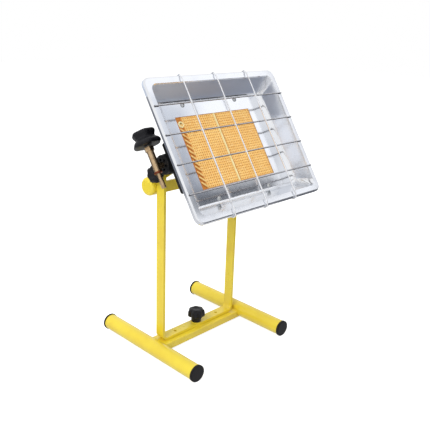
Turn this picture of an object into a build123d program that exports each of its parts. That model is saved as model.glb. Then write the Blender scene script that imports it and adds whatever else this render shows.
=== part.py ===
"""Portable gas heater: a tilting ceramic burner carried by a swivelling frame on two tube feet.

+X is to the right seen from the front, the heater faces -Y and +Z is up. The origin lies on the
floor under the swivel axis. The head (reflector, burner and valve) is drawn on planes of its own:
their local X is the model's X, their local Y climbs the face of the reflector and their local Z
points out of it. Those planes pass through the tilt axis, which is parallel to X.
Sizes are in millimetres.
"""

import os
from math import cos, radians, sin

from build123d import *

# Fits
play = 0.1                     # between flat faces that move on each other
shaft_play = 0.08              # radial, between a shaft and the hole it turns in
joint_gap = 0.05               # between pieces of one body that are pushed together

# Feet
foot_spacing = 239.0           # between the axes of the two tubes
foot_diameter = 30.0
foot_wall = 1.5
foot_length = 250.0
cap_diameter = 32.0
cap_flange = 5.0
cap_spigot = 18.0
cap_wall = 2.0
cap_flat = 0.4                 # what is missing from the round where the cap stands
cap_round = 2.0

# Cross bar between the feet, and the stud that it carries
cross_width = 40.0
cross_height = 15.0
cross_wall = 1.5
cross_drop = 5.5               # the bar's axis lies this far below the tubes' axes
cross_corner = 2.0
stud_diameter = 8.0
stud_head_diameter = 18.0
stud_head_height = 3.0
swivel_washer_diameter = 34.0
swivel_washer_thickness = 0.8

# Swivelling frame, bent from flat bar
bar_width = 20.0
bar_thickness = 5.0
frame_width = 194.0            # over the outsides of the uprights
frame_bend = 8.0               # inside radius
pivot_height = 350.0
drain_hole_diameter = 6.0
drain_hole_x = 57.0
rail_height = 20.0
rail_thickness = 5.0
rail_drop = 16.0               # from the tilt axis to the rail's upper edge
boss_diameter = 34.0
boss_wall = 2.0
boss_overhang = 10.0           # beyond the outside of the upright
boss_length = 24.0
boss_round = 6.0
boss_drop = 29.5               # from the tilt axis to the boss's axis

# Clamping knobs
base_knob_diameter = 35.0
base_knob_height = 16.5
base_knob_stem_diameter = 20.0
base_knob_stem_height = 11.0
knob_bore_spare = 2.0          # the insert's hole runs this far past the end of the stud
tilt_knob_diameter = 33.0
tilt_knob_height = 15.0
tilt_knob_hub_diameter = 18.0
tilt_knob_hub_height = 4.5
knob_lobes = 6
knob_hollow_share = 0.16       # radius of a hollow between lobes, as a share of the diameter
knob_hollow_depth = 3.0
knob_lobe_round = 2.5
knob_draft = 8.0               # how much a star knob narrows towards its top, in degrees
knob_round = 1.5
insert_diameter = 12.0
washer_diameter = 19.0
washer_thickness = 1.2
friction_washer_thickness = 1.0

# Pivot bolts
bolt_diameter = 8.0
bolt_head_diameter = 17.0
bolt_head_height = 4.5
bolt_end = 14.0                # how far the bolt reaches out of the upright
bolt_neck = 8.0                # across the flats of the square neck

# Head
tilt = 33.4                    # how far the face is turned up from vertical
face_rise = 2.0                # the face's centre lies this far above the tilt axis, along the face
rim_distance = 115.5           # from the tilt axis to the front of the rim
rim_width = 320.0
rim_height = 250.0
rim_corner = 14.0
rim_flange = 12.0
rim_lip = 7.0
rim_round = 3.0
sheet = 1.0
pan_depth = 35.0
pan_base_width = 272.0
pan_base_height = 190.0
pan_corner = 12.0
pan_bend = 9.0                 # inside radius between the pan's base and its walls

# Burner
window_width = 184.0
window_height = 131.0
plaque_width = 92.0
plaque_height = 135.0
plaque_thickness = 13.0
plaque_chamfer = 0.6
seam_width = 4.0
seam_proud = 0.4
gasket_thickness = 2.0
gasket_width = 6.0
plaque_margin = 0.5            # around the plaques in their recess
eyelet_diameter = 12.0
eyelet_hole = 7.0
eyelet_flange = 1.2
eyelet_x = -84.0
eyelet_rise = 52.0

# Burner housing
housing_width = 212.0
housing_height = 149.0
housing_corner = 20.0
housing_depth = 39.0
housing_round = 13.0
housing_rear_wall = 3.5
housing_flange_width = 230.0
housing_flange_height = 187.0
housing_flange_thickness = 2.5
reflector_screw_x = 65.0
reflector_screw_rise = 86.0
reflector_screw_diameter = 4.0

# Yoke that carries the housing
yoke_screw_x = (-60.0, -28.0, 28.0, 60.0)
yoke_screw_diameter = 5.0
screw_post_diameter = 11.0
screw_post_height = 9.0

# Guard
wire_diameter = 2.5
wire_bite = 0.4                # how far welded wires sink into each other
upright_wires = 3
level_wires = 4
level_wire_length = 314.0
hook_length = 6.0
guard_reach = 8.5              # from the rim's edge to where an upright wire leaves the face
guard_lift = 0.8               # of the wire's front corner above the rim

# Mixer tube, injector and valve
gas_line_distance = 37.0       # from the tilt axis, along the head's axis
gas_line_rise = 3.5
inlet_boss_diameter = 36.0
inlet_boss_overhang = 4.0      # beyond the housing's side
inlet_boss_length = 17.0
mixer_diameter = 34.0
mixer_length = 8.0             # outside the boss
mixer_spigot_diameter = 28.0
mixer_spigot_length = 12.0
mixer_wall = 2.0
mixer_face = 3.0
air_holes = 6
air_hole_diameter = 5.0
air_hole_circle = 18.0
port_width = 20.0
port_depth = 8.0
valve_offset = 14.0            # from the mixer tube's face to the valve's axis
valve_diameter = 12.5
valve_bottom = -10.0
valve_top = 27.0
valve_bore = 6.4
valve_bore_depth = 22.0
arm_diameter = 10.0
nipple_diameter = 8.0
injector_length = 9.0
injector_across_flats = 10.0
jet_diameter = 1.5
gland_across_flats = 15.0
gland_height = 8.0
stem_diameter = 6.0
stem_in_knob = 16.0
seal_diameter = 15.0
seal_thickness = 3.0
tail_length = 26.0
tail_diameter = 7.6
tail_bore = 4.5
tail_barb_diameter = 9.4
tail_barb_length = 4.0
tail_barbs = 3
valve_knob_diameter = 50.0
valve_knob_skirt = 13.0
valve_knob_grip_diameter = 33.0
valve_knob_grip = 13.0
valve_knob_gap = 2.0           # between the gland nut and the knob
valve_knob_lobes = 5

# Worked out from the sizes above
foot_z = cap_diameter / 2 - cap_flat
cross_z = foot_z - cross_drop
cross_top = cross_z + cross_height / 2
run_bottom = cross_top + swivel_washer_thickness + play
run_top = run_bottom + bar_thickness
inner_width = frame_width - 2 * bar_thickness
arm_outside = inner_width / 2 - friction_washer_thickness - play
arm_inside = arm_outside - bar_thickness
pan_back = rim_distance - pan_depth - sheet
housing_rear = pan_back - housing_depth
level_wire_distance = rim_distance + wire_diameter / 2 + joint_gap
upright_wire_distance = level_wire_distance + wire_diameter - wire_bite
plaques_width = 2 * plaque_width + seam_width
recess_depth = plaque_thickness + gasket_thickness + 3 * joint_gap
boss_face_x = -(housing_width / 2 + inlet_boss_overhang)
mixer_face_x = boss_face_x - mixer_length
valve_x = mixer_face_x - valve_offset

face_up = Vector(0, sin(radians(tilt)), cos(radians(tilt)))
face_out = Vector(0, -cos(radians(tilt)), sin(radians(tilt)))
outward_axis = Axis((0, 0, 0), face_out)
upward_axis = Axis((0, 0, 0), face_up)
tilt_plane = Plane(origin=(0, 0, pivot_height), x_dir=(1, 0, 0), z_dir=face_out)
face_plane = Plane(origin=tilt_plane.from_local_coords((0, face_rise, 0)), x_dir=(1, 0, 0), z_dir=face_out)


def across(x):
    """Plane square to X through x, with local Y up."""
    return Plane.YZ.offset(x)


def across_head(x, rise=0.0, distance=0.0):
    """Plane square to X in the head's frame: local X climbs the face, local Y points out of it."""
    origin = tilt_plane.from_local_coords((x, rise, distance))
    return Plane(origin=origin, x_dir=face_up, z_dir=(1, 0, 0))


def along_valve(rise):
    """Plane square to the valve's axis, which runs up the head's face."""
    origin = tilt_plane.from_local_coords((valve_x, rise, gas_line_distance))
    return Plane(origin=origin, x_dir=(1, 0, 0), z_dir=face_up)


def normal(plane):
    """Axis along the plane's normal, to sort edges and faces by."""
    return Axis(plane.origin, plane.z_dir)


def save(piece, name):
    """Label a finished piece and write it to its own file."""
    piece.part.label = name
    export_step(piece.part, f"parts/{name}.step")


def draw_star(star, diameter, lobes):
    """Draw a star knob in an open sketch: a disc with round hollows between its lobes."""
    hollow = diameter * knob_hollow_share
    Circle(diameter / 2)
    with PolarLocations(diameter / 2 + hollow - knob_hollow_depth, lobes, start_angle=180 / lobes):
        Circle(hollow, mode=Mode.SUBTRACT)
    fillet(star.vertices(), knob_lobe_round)


# Base

def make_foot(name, x):
    """Tube that lies on the floor from front to back."""
    rear = Plane(origin=(x, foot_length / 2, foot_z), x_dir=(1, 0, 0), z_dir=(0, -1, 0))
    with BuildPart() as foot:
        with BuildSketch(rear):
            Circle(foot_diameter / 2)
            Circle(foot_diameter / 2 - foot_wall, mode=Mode.SUBTRACT)
        extrude(amount=foot_length)
    save(foot, name)


def make_foot_cap(name, x, side):
    """Plug in the end of a foot, flattened where it stands; side is -1 in front and 1 behind."""
    mouth = Plane(origin=(x, side * foot_length / 2, foot_z), x_dir=(1, 0, 0), z_dir=(0, side, 0))
    spigot = foot_diameter / 2 - foot_wall - joint_gap
    with BuildPart() as cap:
        with BuildSketch(mouth):
            Circle(cap_diameter / 2)
        extrude(amount=cap_flange)
        outer_edge = cap.edges().filter_by(GeomType.CIRCLE).sort_by(normal(mouth))[-1]
        fillet(outer_edge, min(cap_round, 0.4 * cap_flange))
        with BuildSketch(mouth):
            Circle(spigot)
            Circle(spigot - cap_wall, mode=Mode.SUBTRACT)
        extrude(amount=-cap_spigot)
        split(bisect_by=Plane.XY, keep=Keep.TOP)
    save(cap, name)


def make_cross_bar():
    """Rectangular tube between the feet, with its ends shaped to fit round them."""
    with BuildPart() as bar:
        with BuildSketch(across(-foot_spacing / 2)):
            with Locations((0, cross_z)):
                RectangleRounded(cross_width, cross_height, cross_corner)
                Rectangle(cross_width - 2 * cross_wall, cross_height - 2 * cross_wall, mode=Mode.SUBTRACT)
        extrude(amount=foot_spacing)
        for x in (-foot_spacing / 2, foot_spacing / 2):
            saddle = Plane(origin=(x, cross_width, foot_z), x_dir=(1, 0, 0), z_dir=(0, -1, 0))
            with BuildSketch(saddle):
                Circle(foot_diameter / 2 + joint_gap)
            extrude(amount=2 * cross_width, mode=Mode.SUBTRACT)
        with BuildSketch(Plane.XY.offset(cross_top)):
            Circle(stud_diameter / 2 + joint_gap)
        extrude(amount=-2 * cross_wall, mode=Mode.SUBTRACT)
    save(bar, "cross_bar")


def make_swivel_stud():
    """Stud that stands up from inside the cross bar and carries the frame and its knob."""
    under = Plane.XY.offset(cross_top - cross_wall)
    top = run_top + washer_thickness + base_knob_stem_height + base_knob_height / 2
    with BuildPart() as stud:
        with BuildSketch(under):
            Circle(stud_head_diameter / 2)
        extrude(amount=-stud_head_height)
        with BuildSketch(under):
            Circle(stud_diameter / 2)
        extrude(amount=top - cross_top + cross_wall)
        chamfer(stud.edges().filter_by(GeomType.CIRCLE).sort_by(Axis.Z)[-1], stud_diameter / 10)
    save(stud, "swivel_stud")


def make_ring(name, plane, outer, inner, thickness):
    """Flat washer that lies on the plane."""
    with BuildPart() as ring:
        with BuildSketch(plane):
            Circle(outer / 2)
            Circle(inner / 2, mode=Mode.SUBTRACT)
        extrude(amount=thickness)
    save(ring, name)


# Swivelling frame

def make_swivel_frame():
    """Flat bar bent to a U, with round ends on its uprights."""
    front = Plane.XZ.offset(-bar_width / 2)
    side = across(-frame_width / 2)
    top = pivot_height + bar_width / 2
    with BuildPart() as frame:
        with BuildSketch(front) as outline:
            with Locations((0, run_bottom)):
                Rectangle(frame_width, top - run_bottom, align=(Align.CENTER, Align.MIN))
            fillet(outline.vertices().group_by(Axis.Y)[0], frame_bend + bar_thickness)
        extrude(amount=bar_width)
        with BuildSketch(front) as hollow:
            with Locations((0, run_top)):
                Rectangle(inner_width, top - run_top, align=(Align.CENTER, Align.MIN))
            fillet(hollow.vertices().group_by(Axis.Y)[0], frame_bend)
        extrude(amount=bar_width, mode=Mode.SUBTRACT)
        with BuildSketch(side):
            Rectangle(bar_width, pivot_height, align=(Align.CENTER, Align.MIN))
            with Locations((0, pivot_height)):
                Circle(bar_width / 2)
        extrude(amount=frame_width, mode=Mode.INTERSECT)
        with BuildSketch(side):
            with Locations((0, pivot_height)):
                Circle(bolt_diameter / 2 + shaft_play)
        extrude(amount=frame_width, mode=Mode.SUBTRACT)
        with BuildSketch(Plane.XY.offset(run_bottom)):
            Circle(stud_diameter / 2 + shaft_play)
            with Locations((-drain_hole_x, 0), (drain_hole_x, 0)):
                Circle(drain_hole_diameter / 2)
        extrude(amount=bar_thickness, mode=Mode.SUBTRACT)
    save(frame, "swivel_frame")


def make_top_rail():
    """Flat bar welded between the uprights below the tilt axis."""
    with BuildPart() as rail:
        with BuildSketch(across(-inner_width / 2)):
            with Locations((0, pivot_height - rail_drop)):
                Rectangle(rail_thickness, rail_height, align=(Align.CENTER, Align.MAX))
        extrude(amount=inner_width)
    save(rail, "top_rail")


def make_rear_boss(name, side):
    """Short tube with a closed round end, welded behind an upright; side is -1 left, 1 right."""
    outer_x = side * (frame_width / 2 + boss_overhang)
    axis_y = bar_width / 2 + boss_diameter / 2
    origin = (outer_x, axis_y, pivot_height - boss_drop)
    outer_end = Plane(origin=origin, x_dir=(0, 1, 0), z_dir=(-side, 0, 0))
    with BuildPart() as boss:
        with BuildSketch(outer_end):
            Circle(boss_diameter / 2)
        extrude(amount=boss_length)
        fillet(boss.edges().sort_by(normal(outer_end))[0], boss_round)
        with BuildSketch(outer_end.offset(boss_length)):
            Circle(boss_diameter / 2 - boss_wall)
        extrude(amount=boss_wall - boss_length + boss_round / 2, mode=Mode.SUBTRACT)
    save(boss, name)


# Clamping knobs

def make_star_knob(name, seat, sizes, bore_depth):
    """Moulded knob whose hub stands on the seat plane, with a blind hole for its insert."""
    diameter, height, hub_diameter, hub_height = sizes
    with BuildPart() as knob:
        with BuildSketch(seat.offset(hub_height)) as star:
            draw_star(star, diameter, knob_lobes)
        extrude(amount=height, taper=knob_draft)
        fillet(knob.faces().sort_by(normal(seat))[-1].edges(), knob_round)
        with BuildSketch(seat):
            Circle(hub_diameter / 2)
        extrude(amount=hub_height + height / 2)
        with BuildSketch(seat):
            Circle(insert_diameter / 2 + joint_gap)
        extrude(amount=bore_depth, mode=Mode.SUBTRACT)
    save(knob, name)


def make_insert(name, seat, depth, shaft_diameter):
    """Brass insert of a knob, with the hole that runs on the stud or bolt."""
    make_ring(name, seat, insert_diameter, shaft_diameter + 2 * shaft_play, depth)


def make_base_knob():
    """Knob on the swivel stud with its washer and insert."""
    on_run = Plane.XY.offset(run_top + play)
    seat = on_run.offset(washer_thickness)
    depth = base_knob_stem_height + base_knob_height / 2 + knob_bore_spare
    sizes = (base_knob_diameter, base_knob_height, base_knob_stem_diameter, base_knob_stem_height)
    make_ring("base_knob_washer", on_run, washer_diameter, stud_diameter + 4 * shaft_play, washer_thickness)
    make_star_knob("base_knob", seat, sizes, depth + joint_gap)
    make_insert("base_knob_insert", seat, depth, stud_diameter)


def make_tilt_clamp(side, label):
    """Knob, insert, bolt and washers of one end of the tilt axis."""
    outward = Plane(origin=(0, 0, pivot_height), x_dir=face_up, z_dir=(side, 0, 0))
    upright_face = outward.offset(frame_width / 2)
    seat = upright_face.offset(washer_thickness + play)
    depth = bolt_end - washer_thickness - play + knob_bore_spare
    sizes = (tilt_knob_diameter, tilt_knob_height, tilt_knob_hub_diameter, tilt_knob_hub_height)
    hole = bolt_diameter + 4 * shaft_play
    make_ring(f"knob_washer_{label}", upright_face, washer_diameter, hole, washer_thickness)
    make_ring(f"friction_washer_{label}", outward.offset(arm_outside + play), washer_diameter, hole,
              friction_washer_thickness)
    make_star_knob(f"tilt_knob_{label}", seat, sizes, depth + joint_gap)
    make_insert(f"tilt_knob_insert_{label}", seat, depth, bolt_diameter)
    arm_face = outward.offset(arm_inside)
    with BuildPart() as bolt:
        with BuildSketch(arm_face):
            Circle(bolt_diameter / 2)
        extrude(amount=frame_width / 2 + bolt_end - arm_inside)
        with BuildSketch(arm_face):
            Rectangle(bolt_neck, bolt_neck)
        extrude(amount=bar_thickness - play)
        with BuildSketch(arm_face):
            Circle(bolt_head_diameter / 2)
        extrude(amount=-bolt_head_height)
        fillet(bolt.edges().filter_by(GeomType.CIRCLE).sort_by(normal(outward))[0], bolt_head_height * 0.6)
    save(bolt, f"pivot_bolt_{label}")


# Head

def make_yoke():
    """Flat bar bent to a U: its arms hang on the pivot bolts and its back holds the housing."""
    depth = housing_rear - joint_gap
    above = tilt_plane.from_local_coords((0, bar_width / 2, 0))
    plan = Plane(origin=above, x_dir=(1, 0, 0), z_dir=-face_up)
    with BuildPart() as yoke:
        with BuildSketch(plan) as outline:
            with Locations((0, depth)):
                Rectangle(2 * arm_outside, depth + bar_width / 2, align=(Align.CENTER, Align.MAX))
            fillet(outline.vertices().group_by(Axis.Y)[-1], frame_bend + bar_thickness)
        extrude(amount=bar_width)
        with BuildSketch(plan) as hollow:
            with Locations((0, depth - bar_thickness)):
                Rectangle(2 * arm_inside, depth + bar_width, align=(Align.CENTER, Align.MAX))
            fillet(hollow.vertices().group_by(Axis.Y)[-1], frame_bend)
        extrude(amount=bar_width, mode=Mode.SUBTRACT)
        with BuildSketch(across_head(-arm_outside)):
            Circle(bar_width / 2)
            Rectangle(bar_width, depth, align=(Align.CENTER, Align.MIN))
        extrude(amount=2 * arm_outside, mode=Mode.INTERSECT)
        with BuildSketch(across_head(-arm_outside)):
            Rectangle(bolt_neck + 2 * joint_gap, bolt_neck + 2 * joint_gap)
        extrude(amount=2 * arm_outside, mode=Mode.SUBTRACT)
        with BuildSketch(tilt_plane.offset(depth)):
            with Locations(*[(x, 0) for x in yoke_screw_x]):
                Circle(yoke_screw_diameter / 2 + joint_gap)
        extrude(amount=-2 * bar_thickness, mode=Mode.SUBTRACT)
    save(yoke, "tilt_yoke")


def make_screw_group(name, head_planes, diameter, length):
    """Round-headed screws, one at each plane; the thread runs along the plane's negative normal."""
    with BuildPart() as screws:
        for plane in head_planes:
            with BuildSketch(plane):
                Circle(diameter)
            extrude(amount=0.6 * diameter)
            with BuildSketch(plane):
                Circle(diameter / 2)
            extrude(amount=-length)
    save(screws, name)


def make_housing():
    """Cast box behind the reflector: recess for the plaques, gas chamber and side inlet."""
    recess_floor = pan_back - recess_depth
    recess_width = plaques_width + 2 * plaque_margin
    recess_height = plaque_height + 2 * plaque_margin
    chamber_depth = recess_floor - housing_rear - housing_rear_wall
    chamber_width = recess_width - 2 * gasket_width
    chamber_height = recess_height - 2 * gasket_width
    side_x = -housing_width / 2
    with BuildPart() as housing:
        with BuildSketch(face_plane.offset(housing_rear)):
            RectangleRounded(housing_width, housing_height, housing_corner)
        extrude(amount=housing_depth)
        fillet(housing.faces().sort_by(outward_axis)[0].edges(), housing_round)
        with BuildSketch(face_plane.offset(pan_back)):
            RectangleRounded(housing_flange_width, housing_flange_height, pan_corner)
        extrude(amount=-housing_flange_thickness)
        with BuildSketch(across_head(boss_face_x, gas_line_rise, gas_line_distance)):
            Circle(inlet_boss_diameter / 2)
        extrude(amount=inlet_boss_length)
        with BuildSketch(face_plane.offset(pan_back)):
            Rectangle(recess_width, recess_height)
        extrude(amount=-recess_depth, mode=Mode.SUBTRACT)
        with BuildSketch(face_plane.offset(recess_floor)):
            Rectangle(chamber_width, chamber_height)
        extrude(amount=-chamber_depth, mode=Mode.SUBTRACT)
        with BuildSketch(across_head(boss_face_x, gas_line_rise, gas_line_distance)):
            Circle(mixer_spigot_diameter / 2 + joint_gap)
        extrude(amount=inlet_boss_length - mixer_face, mode=Mode.SUBTRACT)
        port_distance = housing_rear + housing_rear_wall
        with BuildSketch(across_head(side_x, gas_line_rise, port_distance)):
            Rectangle(port_width, port_depth, align=(Align.CENTER, Align.MIN))
        extrude(amount=(housing_width - chamber_width) / 2 + 1, mode=Mode.SUBTRACT)
        with BuildSketch(tilt_plane.offset(housing_rear)):
            with Locations(*[(x, 0) for x in yoke_screw_x]):
                Circle(screw_post_diameter / 2)
        extrude(amount=screw_post_height)
        with BuildSketch(tilt_plane.offset(housing_rear)):
            with Locations(*[(x, 0) for x in yoke_screw_x]):
                Circle(yoke_screw_diameter / 2 + joint_gap)
        extrude(amount=screw_post_height - 1, mode=Mode.SUBTRACT)
        with BuildSketch(face_plane.offset(pan_back)):
            with GridLocations(2 * reflector_screw_x, 2 * reflector_screw_rise, 2, 2):
                Circle(reflector_screw_diameter / 2 + joint_gap)
        extrude(amount=-2 * housing_flange_thickness, mode=Mode.SUBTRACT)
    save(housing, "burner_housing")


def pan_tub(offset, top, bottom):
    """Tapering tub of the reflector, grown by offset; returned as a part, its bend rounded."""
    opening_width = rim_width - 2 * rim_flange
    opening_height = rim_height - 2 * rim_flange
    with BuildPart() as tub:
        with BuildSketch(face_plane.offset(top)):
            RectangleRounded(opening_width + 2 * offset, opening_height + 2 * offset, pan_corner + offset)
        with BuildSketch(face_plane.offset(bottom)):
            RectangleRounded(pan_base_width + 2 * offset, pan_base_height + 2 * offset, pan_corner + offset)
        loft()
        fillet(tub.faces().sort_by(outward_axis)[0].edges(), pan_bend + offset)
    return tub.part


def make_reflector():
    """Polished steel pan with a flanged rim, a rolled lip and a window for the plaques."""
    outside = pan_tub(sheet, rim_distance, pan_back)
    inside = pan_tub(0.0, rim_distance, pan_back + sheet)
    with BuildPart() as reflector:
        with BuildSketch(face_plane.offset(rim_distance)):
            RectangleRounded(rim_width, rim_height, rim_corner)
        extrude(amount=-rim_lip)
        fillet(reflector.faces().sort_by(outward_axis)[-1].edges(), rim_round)
        with BuildSketch(face_plane.offset(rim_distance - sheet)):
            RectangleRounded(rim_width - 2 * rim_round, rim_height - 2 * rim_round, rim_corner - rim_round)
        extrude(amount=-rim_lip, mode=Mode.SUBTRACT)
        with BuildSketch(face_plane.offset(rim_distance - rim_round)):
            RectangleRounded(rim_width - 2 * sheet, rim_height - 2 * sheet, rim_corner - sheet)
        extrude(amount=-rim_lip, mode=Mode.SUBTRACT)
        add(outside)
        add(inside, mode=Mode.SUBTRACT)
        with BuildSketch(face_plane.offset(pan_back)):
            Rectangle(window_width, window_height)
            with GridLocations(2 * reflector_screw_x, 2 * reflector_screw_rise, 2, 2):
                Circle(reflector_screw_diameter / 2 + joint_gap)
        extrude(amount=2 * sheet, mode=Mode.SUBTRACT)
    save(reflector, "reflector")


def make_plaques():
    """Two ceramic plaques, the fibre strip between them and the fibre frame behind them."""
    plaque_back = pan_back - plaque_thickness - joint_gap
    offset_x = (plaque_width + seam_width) / 2
    for name, x in (("ceramic_plaque_left", -offset_x), ("ceramic_plaque_right", offset_x)):
        with BuildPart() as plaque:
            with BuildSketch(face_plane.offset(plaque_back)):
                with Locations((x, 0)):
                    Rectangle(plaque_width - 2 * joint_gap, plaque_height)
                if x < 0:
                    with Locations((eyelet_x, eyelet_rise)):
                        Circle(eyelet_hole / 2 + 1, mode=Mode.SUBTRACT)
            extrude(amount=plaque_thickness)
            chamfer(plaque.faces().sort_by(outward_axis)[-1].edges(), plaque_chamfer)
        save(plaque, name)
    with BuildPart() as seam:
        with BuildSketch(face_plane.offset(plaque_back)):
            Rectangle(seam_width, window_height - 2 * joint_gap)
        extrude(amount=plaque_thickness + seam_proud)
    save(seam, "plaque_seam")
    with BuildPart() as gasket:
        with BuildSketch(face_plane.offset(plaque_back - joint_gap)):
            Rectangle(plaques_width, plaque_height)
            Rectangle(plaques_width - 2 * gasket_width, plaque_height - 2 * gasket_width, mode=Mode.SUBTRACT)
        extrude(amount=-gasket_thickness)
    save(gasket, "plaque_gasket")
    plaque_front = face_plane.offset(plaque_back + plaque_thickness)
    with BuildPart() as eyelet:
        with BuildSketch(plaque_front):
            with Locations((eyelet_x, eyelet_rise)):
                Circle(eyelet_hole / 2 + 1 - joint_gap)
        extrude(amount=-plaque_thickness)
        with BuildSketch(plaque_front):
            with Locations((eyelet_x, eyelet_rise)):
                Circle(eyelet_diameter / 2)
        extrude(amount=eyelet_flange)
        fillet(eyelet.faces().sort_by(outward_axis)[-1].edges(), eyelet_flange * 0.6)
        with BuildSketch(plaque_front.offset(eyelet_flange)):
            with Locations((eyelet_x, eyelet_rise)):
                Circle(eyelet_hole / 2)
        extrude(amount=-2 * plaque_thickness, mode=Mode.SUBTRACT)
    save(eyelet, "lighting_eyelet")


def make_guard():
    """Welded wire guard: level wires across the rim, upright wires hooked over its edges."""
    edge = rim_height / 2 + wire_diameter / 2 + joint_gap
    hook_distance = rim_distance - rim_lip - wire_diameter / 2 - joint_gap
    bend = 1.2 * wire_diameter
    corner_distance = rim_distance + guard_lift
    half = [(edge - hook_length, hook_distance), (edge, hook_distance), (edge, corner_distance),
            (edge - guard_reach, upright_wire_distance)]
    route = half + [(-rise, distance) for rise, distance in reversed(half)]
    pitch_x = rim_width / (upright_wires + 1)
    pitch_rise = rim_height / (level_wires + 1)
    with BuildPart() as guard:
        for index in range(upright_wires):
            x = pitch_x * (index + 1) - rim_width / 2
            with BuildLine(across_head(x, face_rise)) as path:
                FilletPolyline(*route, radius=bend)
            with BuildSketch(Plane(origin=path.line @ 0, z_dir=path.line % 0)):
                Circle(wire_diameter / 2)
            sweep(path=path.line)
        for index in range(level_wires):
            rise = pitch_rise * (index + 1) - rim_height / 2
            with BuildSketch(across_head(-level_wire_length / 2, face_rise + rise, level_wire_distance)):
                Circle(wire_diameter / 2)
            extrude(amount=level_wire_length)
    save(guard, "guard_grille")


def make_mixer_tube():
    """Tube that plugs into the housing's inlet, with air holes round the injector."""
    outer_end = across_head(mixer_face_x, gas_line_rise, gas_line_distance)
    total = mixer_length + mixer_spigot_length
    with BuildPart() as mixer:
        with BuildSketch(outer_end):
            Circle(mixer_diameter / 2)
        extrude(amount=mixer_length - joint_gap)
        with BuildSketch(outer_end):
            Circle(mixer_spigot_diameter / 2)
        extrude(amount=total)
        with BuildSketch(outer_end.offset(mixer_face)):
            Circle(mixer_spigot_diameter / 2 - mixer_wall)
        extrude(amount=total, mode=Mode.SUBTRACT)
        with BuildSketch(outer_end):
            Circle(nipple_diameter / 2 + joint_gap)
            with PolarLocations(air_hole_circle / 2, air_holes):
                Circle(air_hole_diameter / 2)
        extrude(amount=mixer_face, mode=Mode.SUBTRACT)
    save(mixer, "mixer_tube")


def make_valve_body():
    """Brass needle valve: barrel up the side of the head and an arm into the mixer tube."""
    arm = across_head(valve_x, gas_line_rise, gas_line_distance)
    barrel_top = along_valve(gas_line_rise + valve_top)
    with BuildPart() as body:
        with BuildSketch(along_valve(gas_line_rise + valve_bottom)):
            Circle(valve_diameter / 2)
        extrude(amount=valve_top - valve_bottom)
        with BuildSketch(arm):
            Circle(arm_diameter / 2)
        extrude(amount=valve_offset - joint_gap)
        with BuildSketch(arm):
            Circle(nipple_diameter / 2)
        extrude(amount=valve_offset + mixer_face)
        with BuildSketch(barrel_top):
            Circle(valve_bore / 2)
        extrude(amount=-valve_bore_depth, mode=Mode.SUBTRACT)
        with BuildSketch(along_valve(gas_line_rise + valve_bottom)):
            Circle(tail_bore / 2)
        extrude(amount=valve_top - valve_bottom, mode=Mode.SUBTRACT)
        with BuildSketch(arm):
            Circle(tail_bore / 2)
        extrude(amount=valve_offset + mixer_face, mode=Mode.SUBTRACT)
    save(body, "valve_body")


def make_injector():
    """Hexagonal jet on the end of the valve's arm, inside the mixer tube."""
    seat = across_head(mixer_face_x + mixer_face + joint_gap, gas_line_rise, gas_line_distance)
    with BuildPart() as injector:
        with BuildSketch(seat):
            RegularPolygon(injector_across_flats / 2, 6, major_radius=False)
        extrude(amount=injector_length)
        chamfer(injector.faces().sort_by(Axis.X)[-1].edges(), injector_length / 12)
        with BuildSketch(seat):
            Circle(jet_diameter / 2)
        extrude(amount=injector_length, mode=Mode.SUBTRACT)
    save(injector, "injector")


def make_gland_nut():
    """Hexagonal nut that closes the valve body round the stem."""
    seat = along_valve(gas_line_rise + valve_top + joint_gap)
    with BuildPart() as nut:
        with BuildSketch(seat):
            RegularPolygon(gland_across_flats / 2, 6, major_radius=False)
        extrude(amount=gland_height)
        chamfer(nut.faces().sort_by(upward_axis)[-1].edges(), gland_height / 10)
        with BuildSketch(seat):
            Circle(stem_diameter / 2 + shaft_play)
        extrude(amount=gland_height, mode=Mode.SUBTRACT)
    save(nut, "gland_nut")


def make_hose_tail():
    """Barbed tail for the gas hose below the valve body, with its copper seal."""
    seal_top = along_valve(gas_line_rise + valve_bottom - joint_gap)
    make_ring("inlet_seal", seal_top, seal_diameter, tail_bore, -seal_thickness)
    tail_top = seal_top.offset(-seal_thickness - joint_gap)
    first_barb = tail_length - tail_barbs * tail_barb_length
    with BuildPart() as tail:
        with BuildSketch(tail_top):
            Circle(tail_diameter / 2)
        extrude(amount=-first_barb)
        for index in range(tail_barbs):
            start = first_barb + index * tail_barb_length
            with BuildSketch(tail_top.offset(-start)):
                Circle(tail_barb_diameter / 2)
            with BuildSketch(tail_top.offset(-start - tail_barb_length)):
                Circle(tail_diameter / 2)
            loft()
        with BuildSketch(tail_top):
            Circle(tail_bore / 2)
        extrude(amount=-tail_length, mode=Mode.SUBTRACT)
    save(tail, "hose_tail")


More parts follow.
